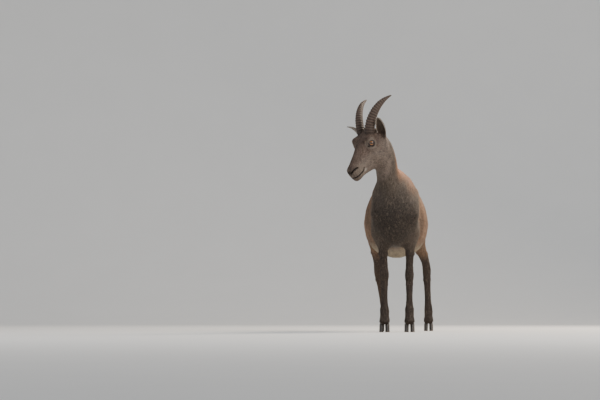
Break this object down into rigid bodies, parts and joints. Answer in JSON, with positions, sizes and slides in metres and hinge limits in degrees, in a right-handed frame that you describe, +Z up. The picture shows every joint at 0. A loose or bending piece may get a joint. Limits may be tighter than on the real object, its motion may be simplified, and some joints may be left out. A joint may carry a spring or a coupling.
{
  "type": "adult female alpine ibex, standing",
  "caption": "Life-size alpine ibex nanny with short ringed horns, standing square with the head turned to its right.",
  "frame": {"origin": "middle of the footprint's bounding box, on the floor that the eight claws stand on", "axes": "-Y is where the chest faces, +X is the animal's left side, +Z is up"},
  "size_m": [0.4048, 1.009, 1.0892],
  "materials": {
    "body_coat": "short dense summer coat, grey-brown, lighter on flanks",
    "face_coat": "very short coat, grey-brown, darker down the face",
    "leg_coat": "short coat, blackish brown",
    "horn": "ringed dry horn, grey-brown",
    "hoof": "dark horn, slightly worn",
    "eye": "wet, amber with a level slit"
  },
  "bodies": {
    "root": {"neck": "face_coat", "head": "face_coat", "chest": "body_coat", "belly": "body_coat", "hindquarters": "body_coat", "tail": "leg_coat", "foreleg_left_forearm": "leg_coat", "foreleg_left_cannon": "leg_coat", "foreleg_left_pastern": "leg_coat", "foreleg_right_forearm": "leg_coat", "foreleg_right_cannon": "leg_coat", "foreleg_right_pastern": "leg_coat", "hindleg_left_gaskin": "leg_coat", "hindleg_left_cannon": "leg_coat", "hindleg_left_pastern": "leg_coat", "hindleg_right_gaskin": "leg_coat", "hindleg_right_cannon": "leg_coat", "hindleg_right_pastern": "leg_coat", "horn_left": "horn", "eye_left": "eye", "ear_left": "face_coat", "horn_right": "horn", "eye_right": "eye", "ear_right": "face_coat", "foreleg_left_hoof_outer": "hoof", "foreleg_left_dewclaw_outer": "hoof", "foreleg_left_hoof_inner": "hoof", "foreleg_left_dewclaw_inner": "hoof", "foreleg_right_hoof_outer": "hoof", "foreleg_right_dewclaw_outer": "hoof", "foreleg_right_hoof_inner": "hoof", "foreleg_right_dewclaw_inner": "hoof", "hindleg_left_hoof_outer": "hoof", "hindleg_left_dewclaw_outer": "hoof", "hindleg_left_hoof_inner": "hoof", "hindleg_left_dewclaw_inner": "hoof", "hindleg_right_hoof_outer": "hoof", "hindleg_right_dewclaw_outer": "hoof", "hindleg_right_hoof_inner": "hoof", "hindleg_right_dewclaw_inner": "hoof"}
  },
  "joints": []
}
